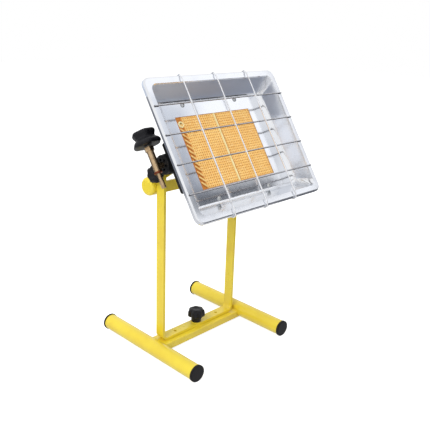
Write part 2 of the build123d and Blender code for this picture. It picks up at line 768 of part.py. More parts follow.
def make_valve_knob():
    """Lobed knob on the valve's stem: a flared skirt with a smaller grip on it."""
    seat_rise = gas_line_rise + valve_top + joint_gap + gland_height + valve_knob_gap
    seat = along_valve(seat_rise)
    stem_bottom = gas_line_rise + valve_top - valve_bore_depth + 1
    with BuildPart() as knob:
        with BuildSketch(seat) as skirt:
            draw_star(skirt, valve_knob_diameter, valve_knob_lobes)
        extrude(amount=valve_knob_skirt)
        fillet(knob.faces().sort_by(upward_axis)[-1].edges(), knob_round)
        with BuildSketch(seat.offset(valve_knob_skirt / 2)) as grip:
            draw_star(grip, valve_knob_grip_diameter, valve_knob_lobes)
        extrude(amount=valve_knob_skirt / 2 + valve_knob_grip)
        fillet(knob.faces().sort_by(upward_axis)[-1].edges(), knob_round)
        with BuildSketch(seat):
            Circle(stem_diameter / 2 + joint_gap)
        extrude(amount=stem_in_knob + joint_gap, mode=Mode.SUBTRACT)
    save(knob, "valve_knob")
    with BuildPart() as stem:
        with BuildSketch(along_valve(stem_bottom)):
            Circle(stem_diameter / 2)
        extrude(amount=seat_rise + stem_in_knob - stem_bottom)
        chamfer(stem.edges().filter_by(GeomType.CIRCLE).sort_by(upward_axis)[0], stem_diameter / 5)
    save(stem, "valve_stem")


def make_screws():
    """Screws through the reflector's base, and screws that hold the yoke to the housing."""
    on_pan = face_plane.offset(pan_back + sheet + joint_gap)
    corners = [(x, rise) for x in (-reflector_screw_x, reflector_screw_x)
               for rise in (-reflector_screw_rise, reflector_screw_rise)]
    pan_planes = [Plane(origin=on_pan.from_local_coords((x, rise, 0)), x_dir=(1, 0, 0), z_dir=face_out)
                  for x, rise in corners]
    make_screw_group("reflector_screws", pan_planes, reflector_screw_diameter,
                     sheet + housing_flange_thickness + 3)
    on_yoke = tilt_plane.offset(housing_rear - bar_thickness - 2 * joint_gap)
    yoke_planes = [Plane(origin=on_yoke.from_local_coords((x, 0, 0)), x_dir=(1, 0, 0), z_dir=-face_out)
                   for x in yoke_screw_x]
    make_screw_group("yoke_screws", yoke_planes, yoke_screw_diameter, bar_thickness + screw_post_height - 2)


os.makedirs("parts", exist_ok=True)
for side_name, side_sign in (("left", -1), ("right", 1)):
    foot_x = side_sign * foot_spacing / 2
    make_foot(f"foot_tube_{side_name}", foot_x)
    make_foot_cap(f"foot_cap_front_{side_name}", foot_x, -1)
    make_foot_cap(f"foot_cap_rear_{side_name}", foot_x, 1)
    make_rear_boss(f"rear_boss_{side_name}", side_sign)
    make_tilt_clamp(side_sign, side_name)
make_cross_bar()
make_swivel_stud()
make_ring("swivel_washer", Plane.XY.offset(cross_top + joint_gap), swivel_washer_diameter,
          stud_diameter + 4 * shaft_play, swivel_washer_thickness - joint_gap)
make_swivel_frame()
make_top_rail()
make_base_knob()
make_yoke()
make_housing()
make_reflector()
make_plaques()
make_guard()
make_mixer_tube()
make_valve_body()
make_injector()
make_gland_nut()
make_hose_tail()
make_valve_knob()
make_screws()
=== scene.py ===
"""Studio scene of the portable gas heater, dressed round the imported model.

Lengths are in metres, or in millimetres where a name ends in _mm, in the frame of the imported
model: +X to the right seen from the front, the heater faces -Y and +Z is up. Each sub-assembly is
a class that dresses the model's own nodes and adds the pieces that only the eye needs.
"""

import logging
import math
from collections.abc import Callable
from dataclasses import dataclass
from enum import Enum
from functools import cache

import bmesh
import bpy
from mathutils import Matrix, Vector


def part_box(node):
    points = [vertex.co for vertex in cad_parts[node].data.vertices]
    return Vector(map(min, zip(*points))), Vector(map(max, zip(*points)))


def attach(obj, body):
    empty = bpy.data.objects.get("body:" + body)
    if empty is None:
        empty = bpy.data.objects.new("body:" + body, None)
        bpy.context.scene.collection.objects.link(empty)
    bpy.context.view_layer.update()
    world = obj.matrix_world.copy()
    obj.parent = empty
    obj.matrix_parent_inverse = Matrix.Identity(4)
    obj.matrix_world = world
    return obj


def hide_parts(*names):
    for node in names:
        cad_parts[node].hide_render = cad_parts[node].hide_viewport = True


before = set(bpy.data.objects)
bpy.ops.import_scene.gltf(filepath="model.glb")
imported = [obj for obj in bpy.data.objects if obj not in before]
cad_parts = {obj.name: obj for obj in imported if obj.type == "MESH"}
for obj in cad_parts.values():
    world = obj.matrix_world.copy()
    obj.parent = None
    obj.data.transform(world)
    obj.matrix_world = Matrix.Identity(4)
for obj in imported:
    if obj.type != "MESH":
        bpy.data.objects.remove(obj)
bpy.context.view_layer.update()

logging.basicConfig(level=logging.INFO, format="%(levelname)s %(message)s")
LOG = logging.getLogger("gas_heater")

MM = 0.001
# The head's tilt at rest, a point of its tilt axis, and its directions across, up and out of its face.
TILT = math.radians(33.4)
PIVOT = Vector((0.0, 0.0, 350.0 * MM))
ACROSS = Vector((1.0, 0.0, 0.0))
FACE_UP = Vector((0.0, math.sin(TILT), math.cos(TILT)))
FACE_OUT = Vector((0.0, -math.cos(TILT), math.sin(TILT)))
# Rise of the plaques' middle over the tilt axis.
MIDDLE_RISE_MM = 2.0
SIDES = (("left", -1.0), ("right", 1.0))
# Socket numbers of a Map Range node, and of a Mix node that mixes colours.
VALUE, FROM_MIN, FROM_MAX, TO_MIN, TO_MAX = range(5)
FACTOR, COLOUR_A, COLOUR_B, MIXED = 0, 6, 7, 2
# Readings of a noise texture between which its patches fade in, and between which most of it lies.
PATCH_START, PATCH_END = 0.42, 0.72
NOISE_LOW, NOISE_HIGH = 0.25, 0.75
# Power that narrows the hollows between a knob's lobes.
HOLLOW_POWER = 1.3

Tree = bpy.types.NodeTree
Node = bpy.types.Node
Object = bpy.types.Object
Material = bpy.types.Material
Source = bpy.types.NodeSocket | bpy.types.Node
Pair = tuple[float, float]
Triple = tuple[float, float, float]
Profile = tuple[Pair, ...]
Rings = tuple[Triple, ...]


class Body(Enum):
    """The rigid bodies that added pieces ride on."""

    BASE = "base"
    BASE_CLAMP = "base_clamp"
    FRAME = "frame"
    HEAD = "head"
    TILT_CLAMP_LEFT = "tilt_clamp_left"
    TILT_CLAMP_RIGHT = "tilt_clamp_right"
    GAS_CONTROL = "gas_control"


class Slot(Enum):
    """Names of the record's material slots for the added pieces."""

    YELLOW = "yellow_paint"
    ZINC = "zinc_steel"
    CERAMIC = "plaque_ceramic"
    CASTING = "black_casting"
    KNOB = "knob_plastic"


def linear(hex_colour: str) -> tuple[float, float, float, float]:
    """Turn an sRGB hex colour into the linear colour that a shader takes.

    Args:
        hex_colour: Six hex digits.

    Returns:
        Red, green, blue and an alpha of 1.
    """
    channels = [int(hex_colour[i:i + 2], 16) / 255.0 for i in (0, 2, 4)]
    red, green, blue = (c / 12.92 if c <= 0.04045 else ((c + 0.055) / 1.055) ** 2.4 for c in channels)
    return (red, green, blue, 1.0)


def add_node(tree: Tree, kind: str, inputs: dict | None = None, **settings: str) -> Node:
    """Add a node with its settings, values and links.

    Args:
        tree: The tree that the node joins.
        kind: The node's type name.
        inputs: Socket name or number to a value, or to the socket or node that feeds it.
        settings: Attributes to set on the node.

    Returns:
        The new node.
    """
    node = tree.nodes.new(kind)
    for name, value in settings.items():
        setattr(node, name, value)
    for key, value in (inputs or {}).items():
        if isinstance(value, Node):
            value = value.outputs[0]
        if isinstance(value, bpy.types.NodeSocket):
            tree.links.new(value, node.inputs[key])
        else:
            node.inputs[key].default_value = value
    return node


def make_material(name: str, shade: Callable[[Tree], Node]) -> Material:
    """Make a node material.

    Args:
        name: Its name.
        shade: Adds the surface's nodes to a tree and gives the shader.

    Returns:
        The material, ready to assign.
    """
    material = bpy.data.materials.new(name)
    material.use_nodes = True
    tree = material.node_tree
    tree.nodes.clear()
    add_node(tree, "ShaderNodeOutputMaterial", {"Surface": shade(tree)})
    return material


def head_point(x_mm: float, rise_mm: float, distance_mm: float) -> Vector:
    """Give the point of the head at x, up its face and out from the tilt axis."""
    return PIVOT + ACROSS * (x_mm * MM) + FACE_UP * (rise_mm * MM) + FACE_OUT * (distance_mm * MM)


def head_matrix(x_mm: float, rise_mm: float, distance_mm: float) -> Matrix:
    """Give the placement whose X, Y and Z are the head's X, up its face and out of it."""
    rotation = Matrix((ACROSS, FACE_UP, FACE_OUT)).transposed()
    return Matrix.Translation(head_point(x_mm, rise_mm, distance_mm)) @ rotation.to_4x4()


def measure_along(tree: Tree, axis: Vector, origin: Vector = PIVOT, unit: float = MM) -> Source:
    """Measure how far along a direction the points of a surface lie.

    Args:
        tree: The material's tree.
        axis: Unit direction, in the model's frame at rest.
        origin: Point that is measured from.
        unit: Length that counts as one.

    Returns:
        The distance, in that unit.
    """
    place = add_node(tree, "ShaderNodeTexCoord").outputs["Object"]
    offset = add_node(tree, "ShaderNodeVectorMath", {0: place, 1: origin}, operation="SUBTRACT")
    along = add_node(tree, "ShaderNodeVectorMath", {0: offset, 1: axis / unit}, operation="DOT_PRODUCT")
    return along.outputs["Value"]


@dataclass(frozen=True)
class Band:
    """A smooth change of a mask, from low to high while a measure goes from start to end."""

    measure: Source
    start: float
    end: float
    low: float = 0.0
    high: float = 1.0


def mask(tree: Tree, *bands: Band) -> Node:
    """Multiply bands into one mask.

    Args:
        tree: The tree that the mask is built in.
        bands: One or more bands.

    Returns:
        The node that gives the mask.
    """
    steps = [add_node(tree, "ShaderNodeMapRange", {
        VALUE: band.measure, FROM_MIN: band.start, FROM_MAX: band.end,
        TO_MIN: band.low, TO_MAX: band.high}, interpolation_type="SMOOTHSTEP") for band in bands]
    product = steps[0]
    for step in steps[1:]:
        product = add_node(tree, "ShaderNodeMath", {0: product, 1: step}, operation="MULTIPLY")
    return product


def paint(tree: Tree, ground: str, *coats: tuple[str | Source | Band, ...]) -> Source:
    """Lay coats of colour over a ground, each where its bands let it show.

    Args:
        tree: The tree that the colour is built in.
        ground: Hex colour at the bottom.
        coats: From the lowest coat up, a hex colour or a socket that gives one, then its bands.

    Returns:
        The colour that results.
    """
    colour = linear(ground)
    for shade, *bands in coats:
        colour = add_node(tree, "ShaderNodeMix", {
            FACTOR: mask(tree, *bands), COLOUR_A: colour,
            COLOUR_B: linear(shade) if isinstance(shade, str) else shade}, data_type="RGBA").outputs[MIXED]
    return colour


@dataclass(frozen=True)
class Finish:
    """A surface described by its colours, its gloss and the scale of its texture.

    Attributes:
        name: Plain name of the material and of how its surface was made.
        colour, tint: Main colour, and that of its darker or dirtier patches, in sRGB hex.
        metallic: 1 for bare metal, 0 for all else.
        roughness, spread: Middle roughness, and how far it wanders to either side.
        patch_mm: Size of the colour patches.
        grain_mm, grain_depth_mm: Size and height of the grain that the light catches.
        coat: Weight of a clear coat.
        tint_amount: Most of the tint that shows.
        specular: Strength of the reflections of a surface that isn't metal.
    """

    name: str
    colour: str
    tint: str
    metallic: float = 0.0
    roughness: float = 0.4
    spread: float = 0.05
    patch_mm: float = 40.0
    grain_mm: float = 1.0
    grain_depth_mm: float = 0.02
    coat: float = 0.0
    tint_amount: float = 0.6
    specular: float = 0.5

    def shade(self, tree: Tree) -> Node:
        """Add the finish's nodes to a tree.

        Args:
            tree: The material's tree.

        Returns:
            The shader.
        """
        place = add_node(tree, "ShaderNodeTexCoord").outputs["Object"]
        patches = add_node(tree, "ShaderNodeTexNoise", {
            "Vector": place, "Scale": 1.0 / (self.patch_mm * MM), "Detail": 4.0, "Roughness": 0.55})
        grain = add_node(tree, "ShaderNodeTexNoise", {
            "Vector": place, "Scale": 1.0 / (self.grain_mm * MM)})
        amount = add_node(tree, "ShaderNodeMapRange", {
            VALUE: patches, FROM_MIN: PATCH_START, FROM_MAX: PATCH_END, TO_MAX: self.tint_amount})
        tinted = add_node(tree, "ShaderNodeMix", {
            FACTOR: amount, COLOUR_A: linear(self.colour), COLOUR_B: linear(self.tint)}, data_type="RGBA")
        gloss = add_node(tree, "ShaderNodeMapRange", {
            VALUE: patches, FROM_MIN: NOISE_LOW, FROM_MAX: NOISE_HIGH,
            TO_MIN: self.roughness - self.spread, TO_MAX: self.roughness + self.spread})
        bump = add_node(tree, "ShaderNodeBump", {"Height": grain, "Distance": self.grain_depth_mm * MM})
        return add_node(tree, "ShaderNodeBsdfPrincipled", {
            "Base Color": tinted.outputs[MIXED], "Metallic": self.metallic,
            "Roughness": gloss, "Normal": bump, "Coat Weight": self.coat,
            "Coat Roughness": 0.08, "Specular IOR Level": self.specular})


@dataclass(frozen=True)
class PolishedSheet:
    """Polished stainless sheet, pressed into a pan, with a painted dark reflection along its upper wall.

    Attributes:
        worn: Colour of the faint patches on the bright sheet.
        painted_wall_reflection: Painted dark reflection on the upper wall; painted_wall_reflection_left at
            its left end.
        wall_rise_mm: Rises between which that wall begins.
        wall_front_mm: Distances between which it turns into the flange.
        wall_fade_mm: X from and to which the painted reflection fades on the right, to fade_rest.
        left_fade_mm: X from and to which the left end's colour changes.
        upper_wall_roughness, upper_wall_metal: Roughness of that wall, and how metallic it still looks
            under the painted reflection.
        patch_mm, wave_mm: Size of the patches, and height of the waves in the sheet under them.
        line_mm, line_depth_mm: Width and height of the drawn lines, which run along X.
    """

    name: str = "polished stainless sheet"
    bright: str = "ECEEF2"
    worn: str = "D9DCE2"
    # Painted dark reflection on the upper wall, lighter towards its left end.
    painted_wall_reflection: str = "A8B0C2"
    painted_wall_reflection_left: str = "C2CAD8"
    wall_rise_mm: Pair = (95.5, 97.5)
    wall_front_mm: Pair = (112.5, 114.0)
    wall_fade_mm: Pair = (120.0, 142.0)
    fade_rest: float = 0.3
    left_fade_mm: Pair = (-150.0, 10.0)
    roughness: float = 0.12
    upper_wall_roughness: float = 0.42
    upper_wall_metal: float = 0.25
    patch_mm: float = 60.0
    wave_mm: float = 0.2
    line_mm: float = 3.0
    line_depth_mm: float = 0.002

    def shade(self, tree: Tree) -> Node:
        """Add the finish's nodes to a tree.

        Args:
            tree: The material's tree.

        Returns:
            The shader.
        """
        place = add_node(tree, "ShaderNodeTexCoord").outputs["Object"]
        across = measure_along(tree, ACROSS)
        wall = (Band(measure_along(tree, FACE_UP), *self.wall_rise_mm),
                Band(measure_along(tree, FACE_OUT), *self.wall_front_mm, 1.0, 0.0),
                Band(across, *self.wall_fade_mm, 1.0, self.fade_rest))
        patches = add_node(tree, "ShaderNodeTexNoise", {
            "Vector": place, "Scale": 1.0 / (self.patch_mm * MM), "Detail": 3.0})
        drawn = add_node(tree, "ShaderNodeMapping", {"Vector": place, "Scale": (0.1, 1.0, 1.0)})
        lines = add_node(tree, "ShaderNodeTexNoise", {
            "Vector": drawn, "Scale": 1.0 / (self.line_mm * MM)})
        # Painted dark reflection on the upper wall, lighter towards its left end and fading on the right.
        painted_reflection_colour = paint(tree, self.painted_wall_reflection_left, (self.painted_wall_reflection, Band(across, *self.left_fade_mm)))
        colour = paint(tree, self.bright, (self.worn, Band(patches, 0.45, 0.7, 0.0, 0.5)), (painted_reflection_colour, *wall))
        # The same mask makes the wall with the painted reflection rougher and less metallic.
        painted_reflection_mask = mask(tree, *wall)
        metal = add_node(tree, "ShaderNodeMapRange", {
            VALUE: painted_reflection_mask, TO_MIN: 1.0, TO_MAX: self.upper_wall_metal})
        gloss = add_node(tree, "ShaderNodeMapRange", {
            VALUE: painted_reflection_mask, TO_MIN: self.roughness, TO_MAX: self.upper_wall_roughness})
        bump = add_node(tree, "ShaderNodeBump", {"Height": lines, "Distance": self.line_depth_mm * MM})
        waves = add_node(tree, "ShaderNodeBump", {
            "Height": patches, "Distance": self.wave_mm * MM, "Normal": bump})
        return add_node(tree, "ShaderNodeBsdfPrincipled", {
            "Base Color": colour, "Metallic": metal, "Roughness": gloss, "Normal": waves})


@dataclass(frozen=True)
class PlatedWire:
    """Plated wire: the outer, upright wires are bright and the level ones behind have a painted dark
    reflection.

    Attributes:
        level_wire_shade: Painted dark reflection on the level wires.
        spots: Colour of the mottle on all wires.
        split_mm: Distances from the tilt axis between which the level layer ends.
        upright_x_mm: X of the outer upright wires; the third one is in the middle.
        clear_mm: How far to either side of an upright wire the painted dark reflection begins and is full.
        roughness, patch_mm: Lowest and highest roughness, and size of the mottle that it follows.
        grain_mm, grain_depth_mm: Size and height of the grain that the light catches.
    """

    name: str = "bright plated wire"
    bright: str = "F3F4F7"
    # Painted dark reflection on the level wires.
    level_wire_shade: str = "77757A"
    spots: str = "8B8688"
    split_mm: Pair = (117.5, 118.3)
    upright_x_mm: float = 80.0
    clear_mm: Pair = (2.0, 3.0)
    roughness: Pair = (0.16, 0.36)
    patch_mm: float = 9.0
    grain_mm: float = 0.8
    grain_depth_mm: float = 0.01

    def shade(self, tree: Tree) -> Node:
        """Add the finish's nodes to a tree.

        Args:
            tree: The material's tree.

        Returns:
            The shader.
        """
        place = add_node(tree, "ShaderNodeTexCoord").outputs["Object"]
        across = measure_along(tree, ACROSS)
        from_middle = add_node(tree, "ShaderNodeMath", {0: across}, operation="ABSOLUTE")
        to_outer = add_node(tree, "ShaderNodeMath", {
            0: across, 1: self.upright_x_mm}, operation="PINGPONG")
        near, far = self.clear_mm
        level = (Band(measure_along(tree, FACE_OUT), *self.split_mm, 1.0, 0.0),
                 Band(from_middle, near, far),
                 Band(to_outer, self.upright_x_mm - far, self.upright_x_mm - near, 1.0, 0.0))
        patches = add_node(tree, "ShaderNodeTexNoise", {
            "Vector": place, "Scale": 1.0 / (self.patch_mm * MM), "Detail": 3.0})
        # Painted dark reflection on the level wires, kept off the upright ones, with a mottle over all.
        colour = paint(tree, self.bright, (self.level_wire_shade, *level),
                       (self.spots, Band(patches, 0.5, 0.75, 0.0, 0.35)))
        gloss = add_node(tree, "ShaderNodeMapRange", {
            VALUE: patches, TO_MIN: self.roughness[0], TO_MAX: self.roughness[1]})
        grain = add_node(tree, "ShaderNodeTexNoise", {
            "Vector": place, "Scale": 1.0 / (self.grain_mm * MM)})
        bump = add_node(tree, "ShaderNodeBump", {"Height": grain, "Distance": self.grain_depth_mm * MM})
        return add_node(tree, "ShaderNodeBsdfPrincipled", {
            "Base Color": colour, "Metallic": 1.0, "Roughness": gloss, "Normal": bump})


@dataclass(frozen=True)
class PlaqueFinish:
    """Amber cordierite plaque, pressed and fired, with a painted glow over its face and painted shade down
    its holes.

    Attributes:
        lit: Colour of the face's hotter patches, as pale is of the hottest flecks.
        row: Colour of the rows that show as fine upright lines, stripe_mm apart.
        edge: Colour of the band with ribs along the left edge, which fades out over edge_mm.
        deep: Painted shade down in the holes, which turns into the face's colour over hole_wall_mm.
        glow: Strength of the painted glow that the face gives off by itself, though it is no lamp.
        patch_mm, speck_mm, speck_depth_mm: Size of the patches, and size and height of the flecks.
    """

    name: str = "fired cordierite"
    face: str = "EABB6A"
    lit: str = "F3CC7C"
    row: str = "D09040"
    pale: str = "F9E3AC"
    # Painted shade down in the holes.
    edge: str = "D68D3C"
    deep: str = "B9702A"
    edge_mm: Pair = (-79.5, -78.0)
    stripe_mm: float = 4.6
    hole_wall_mm: Pair = (79.6, 80.2)
    # Painted glow of the face.
    glow: float = 0.13
    roughness: float = 0.75
    patch_mm: float = 24.0
    speck_mm: float = 2.4
    speck_depth_mm: float = 0.15

    def shade(self, tree: Tree) -> Node:
        """Add the finish's nodes to a tree.

        Args:
            tree: The material's tree.

        Returns:
            The shader.
        """
        place = add_node(tree, "ShaderNodeTexCoord").outputs["Object"]
        across = measure_along(tree, ACROSS)
        warm = add_node(tree, "ShaderNodeTexNoise", {
            "Vector": place, "Scale": 1.0 / (self.patch_mm * MM), "Detail": 3.0, "Roughness": 0.6})
        speck = add_node(tree, "ShaderNodeTexNoise", {
            "Vector": place, "Scale": 1.0 / (self.speck_mm * MM)})
        row = add_node(tree, "ShaderNodeMath", {
            0: across, 1: 0.5 * self.stripe_mm}, operation="PINGPONG")
        colour = paint(
            tree, self.face,
            (self.lit, Band(warm, 0.38, 0.66, 0.0, 0.75)),
            (self.row, Band(row, 0.25 * self.stripe_mm, 0.5 * self.stripe_mm, 0.0, 0.55)),
            (self.pale, Band(speck, 0.5, 0.72, 0.0, 0.6)),
            (self.edge, Band(across, *self.edge_mm, 0.75, 0.0)),
            # Painted shade down in the holes.
            (self.deep, Band(measure_along(tree, FACE_OUT), *self.hole_wall_mm, 0.85, 0.0)))
        bump = add_node(tree, "ShaderNodeBump", {
            "Height": speck, "Distance": self.speck_depth_mm * MM, "Strength": 0.8})
        return add_node(tree, "ShaderNodeBsdfPrincipled", {
            "Base Color": colour, "Roughness": self.roughness, "Normal": bump,
            # Painted glow: the face gives off light in its own colour.
            "Emission Color": colour, "Emission Strength": self.glow})


# Gloss powder coat on mild steel: an even lemon yellow, faintly dimpled, with a soft clear sheen.
POWDER_COAT = Finish("yellow powder coat", "EDD539", "DFBC2E", roughness=0.3, patch_mm=60.0,
    grain_mm=1.6, coat=0.35, tint_amount=0.5)
# Zinc plating on steel: pale, slightly blue, with the mottle of the bath.
ZINC_PLATE = Finish("zinc plated steel", "C9CBCD", "A7A9A4", metallic=1.0, roughness=0.34, spread=0.08,
    patch_mm=6.0, grain_mm=0.5, grain_depth_mm=0.01)
# Turned brass: pinkish straw, dulled brown where it is handled.
TURNED_BRASS = Finish("turned brass", "CDB18C", "957A5A", metallic=1.0, roughness=0.3, spread=0.08,
    patch_mm=7.0, grain_mm=0.4, grain_depth_mm=0.01)
# Annealed copper: dark red, matt from its heating.
SOFT_COPPER = Finish("annealed copper", "8E4A34", "5E2D22", metallic=1.0, roughness=0.42, spread=0.08,
    patch_mm=5.0, grain_mm=0.5)
# Moulded phenolic: black with a fine spark-eroded grain that breaks up the highlights.
MOULDED_BLACK = Finish("moulded black phenolic", "131317", "1D1D21", roughness=0.42, spread=0.06,
    patch_mm=15.0, grain_mm=0.7, grain_depth_mm=0.05, specular=0.25)
# Polyethylene end caps: a softer black with a low sheen.
CAP_PLASTIC = Finish("moulded black polyethylene", "161618", "211F21", roughness=0.5, spread=0.06,
    patch_mm=12.0, grain_mm=0.9, grain_depth_mm=0.03, specular=0.2)
# Heat paint on a sand casting: matt black over a coarse grain.
HEAT_PAINT = Finish("matt black heat paint", "121315", "1D1D1F", roughness=0.55, spread=0.08,
    patch_mm=25.0, grain_mm=1.5, grain_depth_mm=0.12, specular=0.3)
# Pressed ceramic fibre: pale straw, soft and quite matt.
CERAMIC_FIBRE = Finish("pressed ceramic fibre", "F8EBB4", "EED58A", roughness=0.85,
    patch_mm=8.0, grain_mm=0.9, grain_depth_mm=0.15, tint_amount=0.8)
# Black nylon washers: faintly glossy, greyer where they rub.
BLACK_NYLON = Finish("black nylon", "1C1C1F", "2A2A2C", roughness=0.45, patch_mm=10.0, tint_amount=0.3)
# The same cordierite with painted light, lighter and warmer, for the raised ribs and the eyelet's gauze.
PAINTED_LIT_CERAMIC = Finish("fired cordierite ribs", "F3CE86", "E3A24B", roughness=0.75, patch_mm=9.0,
    grain_mm=1.2, grain_depth_mm=0.1, tint_amount=0.8)

AnyFinish = Finish | PolishedSheet | PlatedWire | PlaqueFinish


@cache
def material_of(finish: AnyFinish) -> Material:
    """Give the material of a finish, built the first time it is asked for."""
    return make_material(finish.name, finish.shade)


def dress(finish: AnyFinish, *nodes: str) -> None:
    """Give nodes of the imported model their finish.

    Args:
        finish: What they are made of.
        nodes: Their names.
    """
    for node in nodes:
        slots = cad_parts[node].data.materials
        slots.clear()
        slots.append(material_of(finish))
        LOG.info("dressed %s as %s", node, finish.name)


def seat(piece: Object, body: Body, slot: Slot, degrees: float = 0.0) -> None:
    """Smooth a piece and let it ride on its body.

    Args:
        piece: The piece, at the origin with its place in its mesh.
        body: Body that it rides on.
        slot: Slot of the record that its finish belongs to; not used.
        degrees: Angle from which an edge stays sharp; at 0 the piece stays faceted.
    """
    if degrees:
        builder = bmesh.new()
        builder.from_mesh(piece.data)
        for face in builder.faces:
            face.smooth = True
        for edge in builder.edges:
            edge.smooth = len(edge.link_faces) == 2 and edge.calc_face_angle(0.0) < math.radians(degrees)
        builder.to_mesh(piece.data)
        builder.free()
    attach(piece, body.value)
    LOG.info("added %s on %s", piece.name, body.value)


def to_object(name: str, builder: bmesh.types.BMesh, finish: AnyFinish | None = None) -> Object:
    """Turn a bmesh into an object at the origin, and free the bmesh.

    Args:
        name: Name of the object and its mesh.
        builder: The geometry.
        finish: Finish of a piece; a tile to repeat has none, and stays out of the scene.

    Returns:
        The new object.
    """
    mesh = bpy.data.meshes.new(name)
    builder.to_mesh(mesh)
    builder.free()
    obj = bpy.data.objects.new(name, mesh)
    if finish is not None:
        mesh.materials.append(material_of(finish))
        bpy.context.scene.collection.objects.link(obj)
    return obj


def turn_rings(rings_mm: Rings, sides: int, lobes: int = 0, depth: float = 0.0) -> bmesh.types.BMesh:
    """Turn rings into a closed shape, drawn in between its lobes if it has any.

    Args:
        rings_mm: Radius, height and share of the depth of each ring; a radius of 0 closes an end.
        sides: How many faces go round.
        lobes: Number of lobes.
        depth: Share of the radius that is drawn in between two lobes.

    Returns:
        The shape, with its axis along Z.
    """
    builder = bmesh.new()
    rings = []
    for radius, height, share in rings_mm:
        ring = []
        for k in range(sides if radius else 1):
            angle = 2.0 * math.pi * k / sides
            hollow = (0.5 - 0.5 * math.cos(lobes * angle)) ** HOLLOW_POWER
            reach = radius * MM * (1.0 - depth * share * hollow)
            ring.append(builder.verts.new((
                reach * math.cos(angle), reach * math.sin(angle), height * MM)))
        rings.append(ring)
    for low, high in zip(rings, rings[1:]):
        for k in range(sides):
            after = (k + 1) % sides
            corners = [low[k % len(low)], low[after % len(low)],
                       high[after % len(high)], high[k % len(high)]]
            builder.faces.new(list(dict.fromkeys(corners)))
    return builder


def turned_tile(name: str, profile_mm: Profile, sides: int) -> Object:
    """Make a round closed shape as a tile to repeat.

    Args:
        name: Name of the object.
        profile_mm: Radius and height of each ring; a radius of 0 closes an end.
        sides: How many faces go round.

    Returns:
        The tile, with its axis along Z.
    """
    builder = turn_rings(tuple((radius, height, 0.0) for radius, height in profile_mm), sides)
    bmesh.ops.recalc_face_normals(builder, faces=builder.faces)
    return to_object(name, builder)


def perforated_tile(name: str, pitch: float, hole: float, depth: float) -> Object:
    """Make one square cell of a plaque with a round hole pressed into it.

    Args:
        name: Name of the object.
        pitch: Side of the cell.
        hole: Radius of the hole, which narrows to a floor of four fifths of it.
        depth: How deep the hole goes.

    Returns:
        The cell, facing +Z with its face at Z 0.
    """
    builder = bmesh.new()
    corners = 8
    loops = []
    for radius, height in ((pitch / 2.0, 0.0), (hole, 0.0), (0.8 * hole, -depth)):
        loop = []
        for k in range(corners):
            angle = 2.0 * math.pi * k / corners
            on_square = not loops and k % 2
            reach = radius * (math.sqrt(2.0) if on_square else 1.0)
            loop.append(builder.verts.new((reach * math.cos(angle), reach * math.sin(angle), height)))
        loops.append(loop)
    outer, lip, floor = loops
    for k in range(corners):
        after = (k + 1) % corners
        builder.faces.new((lip[k], outer[k], outer[after], lip[after]))
        builder.faces.new((floor[k], lip[k], lip[after], floor[after]))
    builder.faces.new(floor)
    return to_object(name, builder)


@dataclass
class Scatter:
    """Repeats a small mesh over points by a Geometry Nodes tree, and bakes the result to a mesh.

    Attributes:
        name: Name of the piece that results.
        points: Where each copy stands, in the tile's own plane, in metres.
        placement: Matrix that takes that plane to the model.
    """

    name: str
    points: list[Vector]
    placement: Matrix

    def tree(self, material: Material) -> bpy.types.GeometryNodeTree:
        """Build the tree that puts the tile on every point.

        Args:
            material: Material that the result wears.

        Returns:
            The node tree, with Tile and Scale as named inputs.
        """
        tree = bpy.data.node_groups.new(f"{self.name} repeat", "GeometryNodeTree")
        for way, name, kind in (("INPUT", "Geometry", "Geometry"), ("INPUT", "Tile", "Object"),
                                ("INPUT", "Scale", "Float"), ("OUTPUT", "Geometry", "Geometry")):
            tree.interface.new_socket(name, in_out=way, socket_type=f"NodeSocket{kind}")
        start = add_node(tree, "NodeGroupInput")
        info = add_node(tree, "GeometryNodeObjectInfo", {"Object": start.outputs["Tile"]})
        copies = add_node(tree, "GeometryNodeInstanceOnPoints", {
            "Points": start.outputs["Geometry"], "Instance": info.outputs["Geometry"],
            "Scale": start.outputs["Scale"]})
        real = add_node(tree, "GeometryNodeRealizeInstances", {0: copies})
        painted = add_node(tree, "GeometryNodeSetMaterial", {"Geometry": real, "Material": material})
        add_node(tree, "NodeGroupOutput", {0: painted})
        return tree

    def build(self, tile: Object, finish: AnyFinish) -> Object:
        """Repeat the tile and return the plain mesh object.

        Args:
            tile: Object that is repeated; it is removed afterwards.
            finish: Finish of the result.

        Returns:
            The object, at the origin with its place in its mesh.
        """
        material = material_of(finish)
        mesh = bpy.data.meshes.new(f"{self.name} points")
        mesh.from_pydata(self.points, [], [])
        carrier = bpy.data.objects.new(f"{self.name}_carrier", mesh)
        bpy.context.scene.collection.objects.link(carrier)
        modifier = carrier.modifiers.new("repeat", "NODES")
        modifier.node_group = self.tree(material)
        sockets = {socket.name: socket.identifier
                   for socket in modifier.node_group.interface.items_tree if socket.in_out == "INPUT"}
        modifier[sockets["Tile"]] = tile
        modifier[sockets["Scale"]] = 1.0
        bpy.context.view_layer.update()
        depsgraph = bpy.context.evaluated_depsgraph_get()
        result = bpy.data.meshes.new_from_object(carrier.evaluated_get(depsgraph))
        result.name = self.name
        result.transform(self.placement)
        result.materials.clear()
        result.materials.append(material)
        for polygon in result.polygons:
            polygon.material_index = 0
        bpy.data.objects.remove(carrier)
        bpy.data.objects.remove(tile)
        piece = bpy.data.objects.new(self.name, result)
        bpy.context.scene.collection.objects.link(piece)
        return piece


def lay_weld(name: str, points: list[Vector], shape: Profile, bead_mm: float, body: Body) -> None:
    """Lay a weld as beads of yellow painted steel.

    Args:
        name: Name of the piece.
        points: Middles of the beads.
        shape: Radius and height of a bead's rings, as shares of half its width.
        bead_mm: Width of a bead.
        body: Body that the weld rides on.
    """
    half = bead_mm / 2.0
    profile_mm = tuple((radius * half, height * half) for radius, height in shape)
    tile = turned_tile(f"{name}_tile", profile_mm, 10)
    piece = Scatter(name, points, Matrix.Identity(4)).build(tile, POWDER_COAT)
    seat(piece, body, Slot.YELLOW, degrees=80.0)


